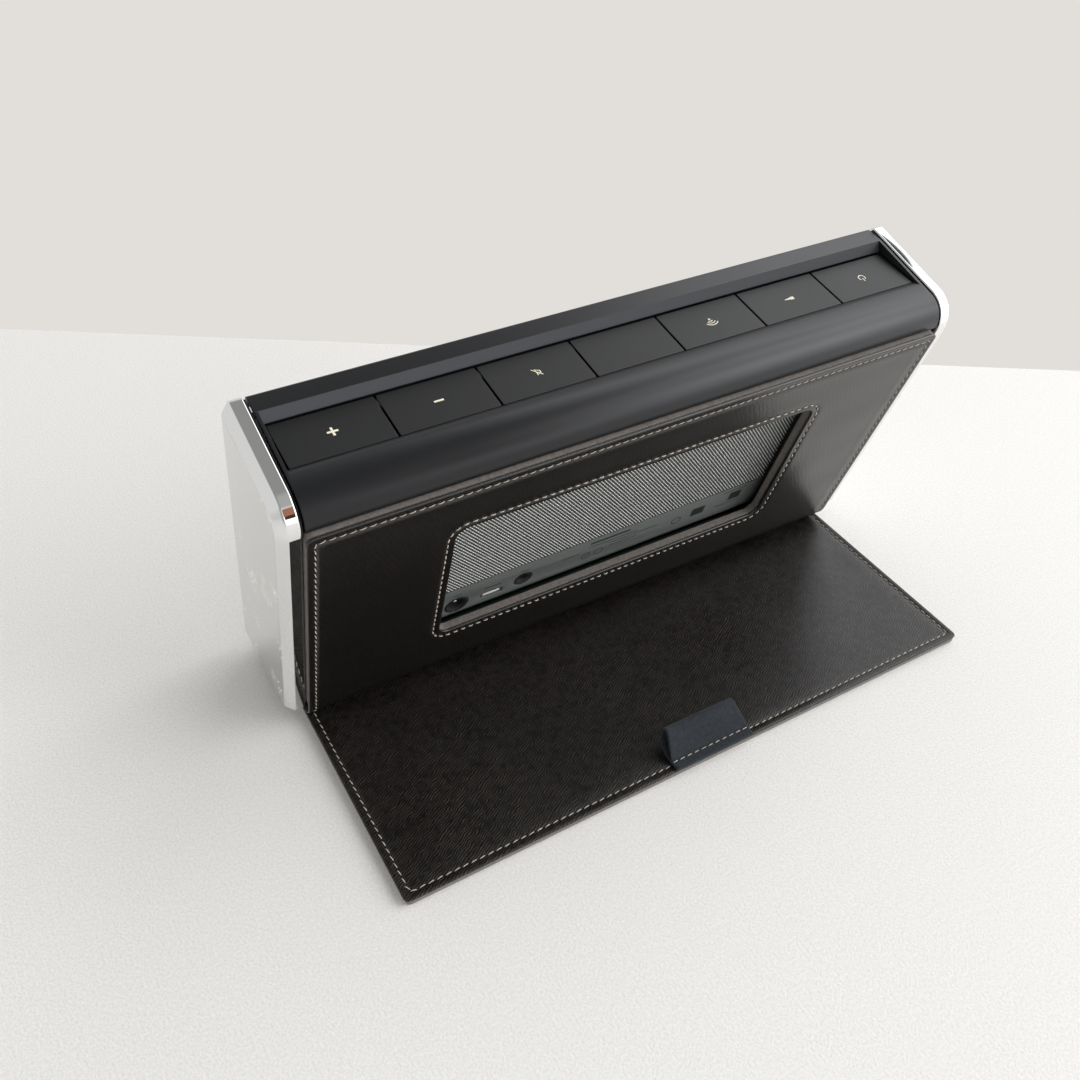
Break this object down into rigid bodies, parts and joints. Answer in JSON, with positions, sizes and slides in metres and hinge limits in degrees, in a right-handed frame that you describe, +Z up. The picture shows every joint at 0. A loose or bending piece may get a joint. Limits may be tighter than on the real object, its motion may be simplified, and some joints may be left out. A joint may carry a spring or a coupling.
{
  "type": "portable wireless speaker with folding leather cover",
  "caption": "Slim box speaker leaning on its opened leather cover: chrome end caps, a row of top keys, rear window to a mesh grille and sockets, and a folding flap.",
  "frame": {"origin": "on the underside of the opened flap, mid-width, at the table, straight below the leaning rear plane of the end caps", "axes": "+Z up from the table, +X along the width towards the plus key, -Y the way the front grille faces"},
  "size_m": [0.244, 0.1283, 0.1299],
  "materials": {
    "leather": "dark brown-black pebbled leather with a soft sheen",
    "lining": "taupe fabric over stiff board",
    "suede": "dark slate suede ribbon",
    "chrome": "polished chrome plating",
    "shell": "charcoal soft-touch moulding",
    "key": "black soft-touch key",
    "grille": "silver woven metal mesh",
    "connector_strip": "grey-green moulding",
    "steel": "plain steel",
    "rubber": "black rubber",
    "circuit_board": "green circuit board",
    "cell_wrap": "heat-shrink wrap",
    "cone_paper": "pressed paper cone and black frame"
  },
  "bodies": {
    "speaker": {"aux_socket": "rubber", "base_plate": "steel", "base_screw_1": "steel", "base_screw_2": "steel", "base_screw_3": "steel", "base_screw_4": "steel", "battery_pack": "cell_wrap", "cap_screw_left_1": "steel", "cap_screw_left_2": "steel", "cap_screw_right_1": "steel", "cap_screw_right_2": "steel", "connector_strip": "connector_strip", "cover_fold": "leather", "cover_leather": "leather", "dc_socket": "rubber", "driver_1": "cone_paper", "driver_2": "cone_paper", "driver_3": "cone_paper", "driver_4": "cone_paper", "end_cap_left": "chrome", "end_cap_right": "chrome", "end_gasket_left": "rubber", "end_gasket_right": "rubber", "end_plate_left": "steel", "end_plate_right": "steel", "front_baffle": "shell", "front_grille": "grille", "indicator_tile": "key", "key_board": "circuit_board", "key_mat": "rubber", "latch_magnet_left": "steel", "latch_magnet_right": "steel", "main_board": "circuit_board", "panel_board": "lining", "passive_radiator_front": "cone_paper", "passive_radiator_rear": "cone_paper", "rear_grille": "grille", "rear_housing": "shell", "spine_board": "lining", "top_shell": "shell", "usb_socket": "steel", "wireless_module": "steel"},
    "flap": {"flap_leather": "leather", "flap_board": "lining", "pull_tab": "suede"},
    "plus_key": {"key_plus": "key"},
    "minus_key": {"key_minus": "key"},
    "mute_key": {"key_mute": "key"},
    "wireless_key": {"key_wireless": "key"},
    "aux_key": {"key_aux": "key"},
    "power_key": {"key_power": "key"}
  },
  "joints": [
    {"name": "flap_fold", "type": "hinge", "parent": "speaker", "child": "flap", "pos_m": [0, -0.04567, 0.0033], "axis": [-1, 0, 0], "range_deg": [0, 286]},
    {"name": "plus_press", "type": "slide", "parent": "speaker", "child": "plus_key", "axis": [0, -0.1592, -0.9873], "range_m": [0, 0.0008], "stiffness_N_per_m": 2500},
    {"name": "minus_press", "type": "slide", "parent": "speaker", "child": "minus_key", "axis": [0, -0.1592, -0.9873], "range_m": [0, 0.0008], "stiffness_N_per_m": 2500},
    {"name": "mute_press", "type": "slide", "parent": "speaker", "child": "mute_key", "axis": [0, -0.1592, -0.9873], "range_m": [0, 0.0008], "stiffness_N_per_m": 2500},
    {"name": "wireless_press", "type": "slide", "parent": "speaker", "child": "wireless_key", "axis": [0, -0.1592, -0.9873], "range_m": [0, 0.0008], "stiffness_N_per_m": 2500},
    {"name": "aux_press", "type": "slide", "parent": "speaker", "child": "aux_key", "axis": [0, -0.1592, -0.9873], "range_m": [0, 0.0008], "stiffness_N_per_m": 2500},
    {"name": "power_press", "type": "slide", "parent": "speaker", "child": "power_key", "axis": [0, -0.1592, -0.9873], "range_m": [0, 0.0008], "stiffness_N_per_m": 2500}
  ]
}
